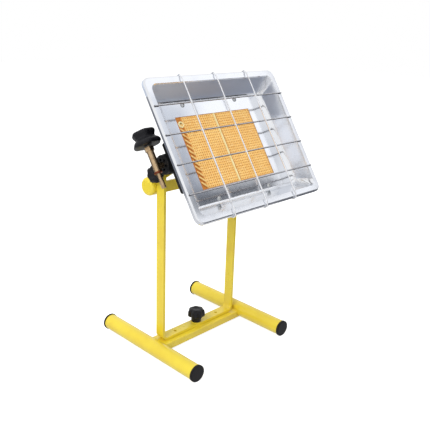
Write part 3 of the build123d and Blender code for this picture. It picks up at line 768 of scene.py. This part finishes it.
@dataclass(frozen=True)
class Base:
    """Feet, caps, cross bar and swivel stud.

    Attributes:
        foot_x_mm: Half the spacing of the feet.
        foot_radius_mm, foot_z_mm: Outside radius of a foot tube, and height of its axis.
        bead_mm, bead_shape: Width of a weld bead, and its rings as shares of half of that.
        bead_shift_mm: How far the beads lie from the edge, towards the bar's middle.
        beads: Number of beads on each foot.
    """

    foot_x_mm: float = 119.5
    foot_radius_mm: float = 15.0
    foot_z_mm: float = 15.6
    bead_mm: float = 2.6
    bead_shape: Profile = ((0.0, -0.7), (0.8, -0.5), (1.0, 0.0), (0.75, 0.45), (0.0, 0.65))
    bead_shift_mm: float = 0.3
    beads: int = 15

    def build(self) -> None:
        """Dress the base and lay its welds."""
        dress(POWDER_COAT, "foot_tube_left", "foot_tube_right", "cross_bar", "swivel_washer")
        dress(CAP_PLASTIC, "foot_cap_front_left", "foot_cap_front_right",
              "foot_cap_rear_left", "foot_cap_rear_right")
        dress(ZINC_PLATE, "swivel_stud")
        self.weld_beads()

    def weld_beads(self) -> None:
        """Lay the weld beads along the upper edge where the cross bar meets each foot."""
        low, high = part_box("cross_bar")
        top = high[2]
        reach = math.sqrt((self.foot_radius_mm * MM) ** 2 - (top - self.foot_z_mm * MM) ** 2)
        x = self.foot_x_mm * MM - reach - self.bead_shift_mm * MM
        points = [Vector((sign * x, low[1] + (high[1] - low[1]) * (k + 0.5) / self.beads, top))
                  for _, sign in SIDES for k in range(self.beads)]
        lay_weld("weld_beads_base", points, self.bead_shape, self.bead_mm, Body.BASE)


@dataclass(frozen=True)
class SwivelFrame:
    """Bent flat bar, top rail, bosses, and the washers on the tilt axis.

    Attributes:
        inside_x_mm: Inner face of an upright.
        bead_mm, bead_shape: Width of a weld bead, and its rings as shares of half of that.
        bead_in_mm, bead_out_mm: How far the beads lie in from the upright, and out of the rail.
        beads: Number of beads in each of the four welds.
    """

    inside_x_mm: float = 92.0
    bead_mm: float = 2.2
    bead_shape: Profile = ((0.0, -1.0), (0.8, -0.6), (1.0, 0.0), (0.8, 0.6), (0.0, 1.0))
    bead_in_mm: float = 0.4
    bead_out_mm: float = 0.2
    beads: int = 8

    def build(self) -> None:
        """Dress the frame and lay its welds."""
        dress(POWDER_COAT, "swivel_frame", "top_rail", "rear_boss_left", "rear_boss_right")
        dress(BLACK_NYLON, "friction_washer_left", "friction_washer_right")
        dress(ZINC_PLATE, "knob_washer_left", "knob_washer_right")
        self.weld_beads()

    def weld_beads(self) -> None:
        """Lay the weld beads where the top rail meets the uprights."""
        low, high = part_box("top_rail")
        x = (self.inside_x_mm - self.bead_in_mm) * MM
        out = self.bead_out_mm * MM
        points = [Vector((sign * x, y, low[2] + (high[2] - low[2]) * (k + 0.5) / self.beads))
                  for _, sign in SIDES for y in (low[1] - out, high[1] + out) for k in range(self.beads)]
        lay_weld("weld_beads_rail", points, self.bead_shape, self.bead_mm, Body.FRAME)


@dataclass(frozen=True)
class LobedKnob:
    """A moulded knob turned from rings that are drawn in between its lobes.

    Attributes:
        node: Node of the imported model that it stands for.
        depth: Share of the radius that is drawn in between two lobes.
        rings_mm: Radius, height from the seat, and share of the depth, for each ring.
        placement: Matrix from the seat, whose Z is the knob's axis, to the model.
        sides: How many faces go round.
    """

    name: str
    node: str
    body: Body
    lobes: int
    depth: float
    rings_mm: Rings
    placement: Matrix
    sides: int = 96

    def build(self) -> None:
        """Mould the knob and let it stand for its node."""
        builder = turn_rings(self.rings_mm, self.sides, self.lobes, self.depth)
        bmesh.ops.transform(builder, matrix=self.placement, verts=builder.verts)
        bmesh.ops.recalc_face_normals(builder, faces=builder.faces)
        piece = to_object(self.name, builder, MOULDED_BLACK)
        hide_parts(self.node)
        seat(piece, self.body, Slot.KNOB, degrees=40.0)


@dataclass(frozen=True)
class Clamps:
    """The base knob and the two tilt knobs, each with its insert.

    Attributes:
        lobes: Number of lobes of each knob.
        depth: Share of the radius that is drawn in between two lobes.
        base_rings_mm: Rings of the base knob from its foot up.
        tilt_rings_mm: Rings of a tilt knob from its inner face out.
    """

    lobes: int = 7
    depth: float = 0.16
    base_rings_mm: Rings = (
        (0, 0, 0), (9.4, 0, 0), (10, 0.6, 0), (10, 9.6, 0), (11.2, 10.8, 0.3),
        (15.2, 11.3, 1), (16.9, 12.3, 1), (17.5, 14.2, 1), (17.4, 19, 1), (16.9, 22.6, 1),
        (15.6, 25.2, 0.9), (13, 27, 0.7), (9, 27.5, 0.3), (7.4, 27.5, 0), (6.6, 26.9, 0),
        (0, 26.9, 0))
    tilt_rings_mm: Rings = (
        (0, 0, 0), (9.4, 0, 0), (10, 0.6, 0), (10.2, 3.4, 0), (14, 4.2, 0.9),
        (15.8, 5, 1), (16.5, 7, 1), (16.4, 12, 1), (15.8, 15.6, 1), (14.2, 18, 0.9),
        (11.6, 19.4, 0.6), (8, 19.5, 0.2), (6.8, 19.5, 0), (6, 19, 0), (0, 19, 0))

    def build(self) -> None:
        """Dress the clamps and mould their knobs."""
        dress(MOULDED_BLACK, "base_knob", "tilt_knob_left", "tilt_knob_right")
        dress(TURNED_BRASS, "base_knob_insert", "tilt_knob_insert_left", "tilt_knob_insert_right")
        dress(POWDER_COAT, "base_knob_washer")
        dress(ZINC_PLATE, "pivot_bolt_left", "pivot_bolt_right")
        self.mould()

    def mould(self) -> None:
        """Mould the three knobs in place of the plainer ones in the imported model."""
        low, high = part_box("base_knob")
        middle = Vector(((low[0] + high[0]) / 2.0, (low[1] + high[1]) / 2.0, low[2]))
        LobedKnob("base_knob_moulding", "base_knob", Body.BASE_CLAMP, self.lobes, self.depth,
                  self.base_rings_mm, Matrix.Translation(middle)).build()
        for side, sign in SIDES:
            low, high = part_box(f"tilt_knob_{side}")
            seat_x = high[0] if sign < 0.0 else low[0]
            turn = Vector((sign, 0.0, 0.0)).to_track_quat("Z", "Y").to_matrix().to_4x4()
            place = Matrix.Translation(Vector((seat_x, PIVOT.y, PIVOT.z))) @ turn
            LobedKnob(f"tilt_knob_moulding_{side}", f"tilt_knob_{side}", Body(f"tilt_clamp_{side}"),
                      self.lobes, self.depth, self.tilt_rings_mm, place).build()


@dataclass(frozen=True)
class Burner:
    """Reflector, plaques, guard, housing and yoke.

    Attributes:
        pitch_mm, hole_mm, hole_depth_mm: Spacing, radius and depth of the holes in a plaque's face.
        face_distance_mm: How far the pressed face stands out from the tilt axis.
        field_mm: Width and height of the field of holes in one plaque.
        plaque_x_mm: Middle of a plaque, to either side of the seam.
        rib_band_mm: Width of the band at the left edge that has ribs in place of holes.
        rib_mm: Length, width and height of a rib.
        rib_x_mm, rib_top_mm, rib_pitch_mm: X of the ribs, rise of the highest, and their spacing.
        rib_slant_degrees: How far a rib slants from level.
        rib_out_mm, rib_bevel_mm: How far its middle stands out of the pressed face, and its rounding.
        gauze_at_mm, pad_at_mm: X, rise and distance of the eyelet's gauze and of the inlet pad.
        gauze_mm, screw_head_mm: Radius and height of the rings of the gauze and of a screw head.
        pad_mm: Width, height and depth of the inlet pad.
        pad_corner_mm, pad_rim_mm: Rounding of its corners, seen from the side, and of its rims.
        screw_mm: X, rise and distance of a reflector screw, from the plaques' middle.
    """

    pitch_mm: float = 4.6
    hole_mm: float = 1.4
    hole_depth_mm: float = 0.8
    face_distance_mm: float = 80.35
    field_mm: Pair = (88.5, 129.0)
    plaque_x_mm: float = 47.0
    rib_band_mm: float = 12.0
    ribs: int = 11
    rib_mm: Triple = (15.0, 3.4, 1.4)
    rib_x_mm: float = -84.5
    rib_top_mm: float = 41.0
    rib_pitch_mm: float = 9.6
    rib_slant_degrees: float = -42.0
    rib_out_mm: float = 0.5
    rib_bevel_mm: float = 0.45
    gauze_at_mm: Triple = (-84.0, 52.0, 79.4)
    gauze_mm: Profile = ((0.0, -0.6), (3.3, -0.6), (3.3, 0.0), (2.2, 0.4), (0.0, 0.6))
    pad_mm: Triple = (12.7, 126.0, 36.5)
    pad_at_mm: Triple = (-101.35, -8.0, 59.75)
    pad_corner_mm: float = 17.0
    pad_rim_mm: float = 1.5
    screw_mm: Triple = (65.0, 86.0, 80.55)
    screw_head_mm: Profile = ((0.0, 0.0), (4.0, 0.0), (4.0, 0.6), (3.5, 1.6), (2.2, 2.3), (1.1, 2.5),
                              (0.8, 1.2), (0.0, 1.0))

    def build(self) -> None:
        """Dress the burner and add its small pieces."""
        dress(PolishedSheet(), "reflector")
        dress(PlatedWire(), "guard_grille")
        dress(PlaqueFinish(), "ceramic_plaque_left", "ceramic_plaque_right")
        dress(CERAMIC_FIBRE, "plaque_seam", "plaque_gasket", "lighting_eyelet")
        dress(HEAT_PAINT, "burner_housing")
        dress(POWDER_COAT, "tilt_yoke")
        dress(ZINC_PLATE, "yoke_screws", "reflector_screws")
        self.plaque_faces()
        self.edge_ribs()
        self.eyelet_gauze()
        self.inlet_pad()
        self.pan_screws()

    def plaque_faces(self) -> None:
        """Press the field of holes into the face of each plaque."""
        pitch = self.pitch_mm * MM
        columns, rows = (int(length / self.pitch_mm) for length in self.field_mm)
        ribs_end = (self.rib_band_mm - 0.5 * self.field_mm[0]) * MM
        for side, sign in SIDES:
            across = [(column - (columns - 1) / 2.0) * pitch for column in range(columns)]
            if side == "left":
                across = [x for x in across if x >= ribs_end]
            points = [Vector((x, (row - (rows - 1) / 2.0) * pitch, 0.0))
                      for x in across for row in range(rows)]
            tile = perforated_tile("plaque_cell", pitch, self.hole_mm * MM, self.hole_depth_mm * MM)
            placement = head_matrix(sign * self.plaque_x_mm, MIDDLE_RISE_MM, self.face_distance_mm)
            piece = Scatter(f"plaque_face_{side}", points, placement).build(tile, PlaqueFinish())
            seat(piece, Body.HEAD, Slot.CERAMIC)

    def edge_ribs(self) -> None:
        """Raise the slanting ribs down the left edge of the left plaque."""
        builder = bmesh.new()
        shape = Matrix.Diagonal((*(side * MM for side in self.rib_mm), 1.0))
        slant = Matrix.Rotation(math.radians(self.rib_slant_degrees), 4, "Z")
        for index in range(self.ribs):
            slab = bmesh.ops.create_cube(builder, size=1.0)["verts"]
            place = head_matrix(self.rib_x_mm, self.rib_top_mm - index * self.rib_pitch_mm,
                                self.face_distance_mm + self.rib_out_mm)
            bmesh.ops.transform(builder, matrix=place @ slant @ shape, verts=slab)
        bmesh.ops.bevel(
            builder, geom=builder.edges, offset=self.rib_bevel_mm * MM, segments=2, affect="EDGES")
        # The ribs wear the cordierite with painted light.
        piece = to_object("plaque_edge_ribs", builder, PAINTED_LIT_CERAMIC)
        seat(piece, Body.HEAD, Slot.CERAMIC, degrees=60.0)

    def eyelet_gauze(self) -> None:
        """Close the lighting eyelet with the gauze that the flame is seen through."""
        tile = turned_tile("gauze_disc", self.gauze_mm, 24)
        # The gauze wears the cordierite with painted light.
        piece = Scatter("eyelet_gauze", [Vector((0.0, 0.0, 0.0))], head_matrix(*self.gauze_at_mm)).build(
            tile, PAINTED_LIT_CERAMIC)
        seat(piece, Body.HEAD, Slot.CERAMIC, degrees=60.0)

    def inlet_pad(self) -> None:
        """Raise the cast pad on the housing's left side, round the inlet."""
        builder = bmesh.new()
        bmesh.ops.create_cube(builder, size=1.0)
        shape = Matrix.Diagonal((*(side * MM for side in self.pad_mm), 1.0))
        bmesh.ops.transform(builder, matrix=shape, verts=builder.verts)
        half_width = 0.5 * self.pad_mm[0] * MM
        level = [edge for edge in builder.edges
                 if abs(edge.verts[0].co.x - edge.verts[1].co.x) > half_width]
        bmesh.ops.bevel(builder, geom=level, offset=self.pad_corner_mm * MM, segments=8, affect="EDGES")
        rims = [edge for edge in builder.edges if edge.calc_face_angle(0.0) > math.radians(60.0)]
        bmesh.ops.bevel(builder, geom=rims, offset=self.pad_rim_mm * MM, segments=3, affect="EDGES")
        bmesh.ops.transform(builder, matrix=head_matrix(*self.pad_at_mm), verts=builder.verts)
        piece = to_object("inlet_pad", builder, HEAT_PAINT)
        seat(piece, Body.HEAD, Slot.CASTING, degrees=40.0)

    def pan_screws(self) -> None:
        """Put round heads with a driver's recess over the reflector's four screws."""
        tile = turned_tile("screw_head", self.screw_head_mm, 20)
        x, rise, distance = self.screw_mm
        points = [Vector((across * x * MM, up * rise * MM, 0.0))
                  for across in (-1.0, 1.0) for up in (-1.0, 1.0)]
        placement = head_matrix(0.0, MIDDLE_RISE_MM, distance)
        piece = Scatter("reflector_screw_heads", points, placement).build(tile, ZINC_PLATE)
        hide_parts("reflector_screws")
        seat(piece, Body.HEAD, Slot.ZINC, degrees=50.0)


@dataclass(frozen=True)
class GasLine:
    """Valve, its knob, the hose tail and the mixer tube.

    Attributes:
        knob_rings_mm: Rings of the valve knob from its skirt up.
        knob_lobes: Number of the knob's lobes.
        knob_depth: Share of the radius that is drawn in between two lobes.
        knob_at_mm: X, rise and distance of the middle of the knob's skirt.
    """

    knob_rings_mm: Rings = (
        (0, 0, 0), (8, 0, 0), (20, 0, 0.8), (23.4, 0.5, 1), (24.8, 1.8, 1),
        (25, 3.6, 1), (24.4, 6, 1), (22.6, 8.4, 1), (20, 10.4, 1), (18.2, 12.4, 1),
        (17.8, 14.4, 1), (18.8, 17, 1), (20.2, 19.4, 1), (21, 21.8, 1), (20.7, 24, 1),
        (19.2, 25.6, 0.9), (15, 26, 0.7), (9.6, 26, 0), (8.4, 25.2, 0), (0, 25, 0))
    knob_lobes: int = 6
    knob_depth: float = 0.08
    knob_at_mm: Triple = (-132.0, 40.55, 37.0)

    def build(self) -> None:
        """Dress the gas line and mould the valve knob in place of the plainer one."""
        dress(TURNED_BRASS, "valve_body", "gland_nut", "hose_tail", "injector")
        dress(SOFT_COPPER, "inlet_seal")
        dress(HEAT_PAINT, "mixer_tube")
        dress(MOULDED_BLACK, "valve_knob")
        dress(ZINC_PLATE, "valve_stem")
        turn = FACE_UP.to_track_quat("Z", "Y").to_matrix().to_4x4()
        place = Matrix.Translation(head_point(*self.knob_at_mm)) @ turn
        LobedKnob("valve_knob_moulding", "valve_knob", Body.GAS_CONTROL, self.knob_lobes,
                  self.knob_depth, self.knob_rings_mm, place).build()


@dataclass(frozen=True)
class Lamp:
    """A square soft lamp, with its power in watts."""

    name: str
    place: Triple
    size: float
    power: float


@dataclass(frozen=True)
class Card:
    """A level dark card between two corners, which only reflections see."""

    name: str
    low: Pair
    high: Pair
    colour: str

    def shade(self, tree: Tree) -> Node:
        """Add the card's even glow to a tree and give it."""
        return add_node(tree, "ShaderNodeEmission", {"Color": linear(self.colour)})


@dataclass(frozen=True)
class Studio:
    """Floor, light, cards and camera.

    Attributes:
        azimuth, elevation, roll: How the camera is turned, in degrees: round from +Y, down, and
            about its own axis.
        shift_x: How far the frame is moved right, as a share of its width.
        aim: Point that every lamp shines at.
        floor_glow, world_glow: Strength of the white that the camera sees on the floor besides its
            light, and of the surroundings as a light.
        pan_distance_mm: How far the pan's floor stands out from the tilt axis.
        card_scale: How far off the graded card stands, as a multiple of the camera's distance.
        card_x_mm, card_rise_mm: Bounds of the graded card.
    """

    camera_at: Triple = (-0.7582, -0.7701, 0.6161)
    azimuth: float = -46.0
    elevation: float = 18.6
    roll: float = 2.0
    lens_mm: float = 49.9
    sensor_mm: float = 36.0
    shift_x: float = 0.0042
    aim: Triple = (0.0, 0.0, 0.25)
    lamps: tuple[Lamp, ...] = (Lamp("key_light", (-2.1, -0.6, 1.7), 1.2, 37.0),
                               Lamp("fill_light", (1.2, -1.6, 1.2), 1.8, 9.0),
                               Lamp("top_light", (-0.2, 0.0, 2.4), 1.6, 20.0))
    floor_half: float = 6.0
    floor_glow: float = 0.74
    world_glow: float = 0.5
    pan_distance_mm: float = 80.5
    card_scale: float = 2.2
    card_x_mm: Pair = (-230.0, 460.0)
    card_rise_mm: Pair = (-420.0, 210.0)
    card_glow: float = 1.2
    dark_cards: tuple[Card, ...] = (Card("dark_card_floor", (0.4, -2.6), (3.0, 1.4), "62656D"),
                                    Card("dark_card_rear", (-2.6, 0.7), (0.2, 3.2), "777A82"))
    dark_card_z: float = 0.002

    def build(self) -> None:
        """Set up the camera, floor, light and cards; the graded card is parallel to the pan."""
        self.camera()
        half = self.floor_half
        self.add_sheet("studio_floor", self.level_corners((-half, -half), (half, half), 0.0),
                       self.floor_shade)
        self.light()
        (left, right), (bottom, top) = self.card_x_mm, self.card_rise_mm
        corners = [self.card_centre() + (ACROSS * x + FACE_UP * rise) * (self.card_scale * MM)
                   for x, rise in ((left, bottom), (right, bottom), (right, top), (left, top))]
        self.add_sheet("graded_card", corners, self.graded_shade, reflected_only=True)
        for card in self.dark_cards:
            corners = self.level_corners(card.low, card.high, self.dark_card_z)
            self.add_sheet(card.name, corners, card.shade, reflected_only=True)

    def level_corners(self, low: Pair, high: Pair, z: float) -> list[Vector]:
        """Give the corners of a level rectangle in turn."""
        return [Vector((low[0], low[1], z)), Vector((high[0], low[1], z)),
                Vector((high[0], high[1], z)), Vector((low[0], high[1], z))]

    def add_sheet(self, name: str, corners: list[Vector], shade: Callable[[Tree], Node],
                  reflected_only: bool = False) -> None:
        """Add a four-cornered sheet of the studio to the scene.

        Args:
            name: Name of the sheet.
            corners: Its corners in turn.
            shade: Adds its surface's nodes to a tree and gives the shader.
            reflected_only: Whether only reflections see it.
        """
        mesh = bpy.data.meshes.new(name)
        mesh.from_pydata(corners, [], [(0, 1, 2, 3)])
        mesh.materials.append(make_material(name, shade))
        sheet = bpy.data.objects.new(name, mesh)
        bpy.context.scene.collection.objects.link(sheet)
        if reflected_only:
            for ray in ("camera", "diffuse", "shadow", "transmission", "volume_scatter"):
                setattr(sheet, f"visible_{ray}", False)

    def floor_shade(self, tree: Tree) -> Node:
        """Add the nodes of a white floor that only catches the shadow.

        Args:
            tree: The material's tree.

        Returns:
            The shader.
        """
        soft = add_node(tree, "ShaderNodeBsdfDiffuse", {"Color": linear("D8D8D8")})
        white = add_node(tree, "ShaderNodeEmission", {
            "Color": linear("FFFFFF"), "Strength": self.floor_glow})
        both = add_node(tree, "ShaderNodeAddShader", {0: soft, 1: white})
        path = add_node(tree, "ShaderNodeLightPath")
        seen = add_node(tree, "ShaderNodeMixShader", {
            0: path.outputs["Is Camera Ray"], 1: soft, 2: both})
        plain = add_node(tree, "ShaderNodeEmission", {"Color": linear("E4E4E6")})
        return add_node(tree, "ShaderNodeMixShader", {
            0: path.outputs["Is Glossy Ray"], 1: seen, 2: plain})

    def card_centre(self) -> Vector:
        """Give the point of the graded card that shows in the middle of the pan.

        Returns:
            The point, found from the camera mirrored in the pan's plane.
        """
        eye = Vector(self.camera_at)
        pan = head_point(0.0, 0.0, self.pan_distance_mm)
        mirrored = eye - FACE_OUT * (2.0 * (eye - pan).dot(FACE_OUT))
        return mirrored + (pan - mirrored) * self.card_scale

    def graded_shade(self, tree: Tree) -> Node:
        """Add the greys that the pan reflects, by X and rise of the point where they show in it.

        Args:
            tree: The material's tree.

        Returns:
            The shader.
        """
        centre = self.card_centre()
        x = measure_along(tree, ACROSS, centre, self.card_scale * MM)
        rise = measure_along(tree, FACE_UP, centre, self.card_scale * MM)
        within = (Band(rise, 97.0, 106.0, 1.0, 0.0), Band(rise, -112.0, -100.0), Band(x, -172.0, -142.0))
        grey = paint(tree, "9297A2", ("C6CBD4", Band(rise, -60.0, 90.0)))
        tone = paint(
            tree, "FAFBFE",
            (grey, *within, Band(x, -105.0, -25.0, 1.0, 0.0)),
            ("54585F", *within, Band(rise, -71.0, -58.0, 1.0, 0.0), Band(x, 70.0, 105.0, 1.0, 0.0)),
            ("6E727B", Band(x, 165.0, 190.0)),
            ("3E4148", Band(rise, -156.0, -138.0, 1.0, 0.0)))
        return add_node(tree, "ShaderNodeEmission", {"Color": tone, "Strength": self.card_glow})

    def light(self) -> None:
        """Hang the soft lamps, which reflections don't show, and set the white surroundings."""
        for lamp in self.lamps:
            data = bpy.data.lights.new(lamp.name, "AREA")
            data.size = lamp.size
            data.energy = lamp.power
            obj = bpy.data.objects.new(lamp.name, data)
            obj.location = lamp.place
            way = Vector(self.aim) - Vector(lamp.place)
            obj.rotation_euler = way.to_track_quat("-Z", "Y").to_euler()
            obj.visible_glossy = False
            bpy.context.scene.collection.objects.link(obj)
        world = bpy.data.worlds.new("studio")
        bpy.context.scene.world = world
        world.use_nodes = True
        tree = world.node_tree
        tree.nodes.clear()
        path = add_node(tree, "ShaderNodeLightPath")
        seen = add_node(tree, "ShaderNodeMath", {
            0: path.outputs["Is Camera Ray"], 1: path.outputs["Is Glossy Ray"]}, operation="MAXIMUM")
        dim = add_node(tree, "ShaderNodeBackground", {
            "Color": linear("FFFFFF"), "Strength": self.world_glow})
        bright = add_node(tree, "ShaderNodeBackground", {"Color": linear("FFFFFF")})
        mix = add_node(tree, "ShaderNodeMixShader", {0: seen, 1: dim, 2: bright})
        add_node(tree, "ShaderNodeOutputWorld", {"Surface": mix})
        bpy.context.scene.view_settings.view_transform = "Standard"

    def camera(self) -> None:
        """Stand the camera where the photograph was taken from."""
        azimuth, elevation, roll = (math.radians(a) for a in (self.azimuth, self.elevation, self.roll))
        right = Vector((math.cos(azimuth), math.sin(azimuth), 0.0))
        back = Vector((math.sin(azimuth) * math.cos(elevation), -math.cos(azimuth) * math.cos(elevation),
                       math.sin(elevation)))
        up = back.cross(right)
        rolled_right = right * math.cos(roll) + up * math.sin(roll)
        rolled_up = up * math.cos(roll) - right * math.sin(roll)
        lens = bpy.data.cameras.new("photo_camera")
        lens.lens = self.lens_mm
        lens.sensor_width = self.sensor_mm
        lens.shift_x = self.shift_x
        obj = bpy.data.objects.new("photo_camera", lens)
        turn = Matrix((rolled_right, rolled_up, back)).transposed()
        obj.matrix_world = Matrix.Translation(Vector(self.camera_at)) @ turn.to_4x4()
        bpy.context.scene.collection.objects.link(obj)
        bpy.context.scene.camera = obj


def main() -> None:
    """Build and dress the heater, then the studio round it."""
    for assembly in (Base(), SwivelFrame(), Clamps(), Burner(), GasLine(), Studio()):
        assembly.build()


if __name__ == "__main__":
    main()
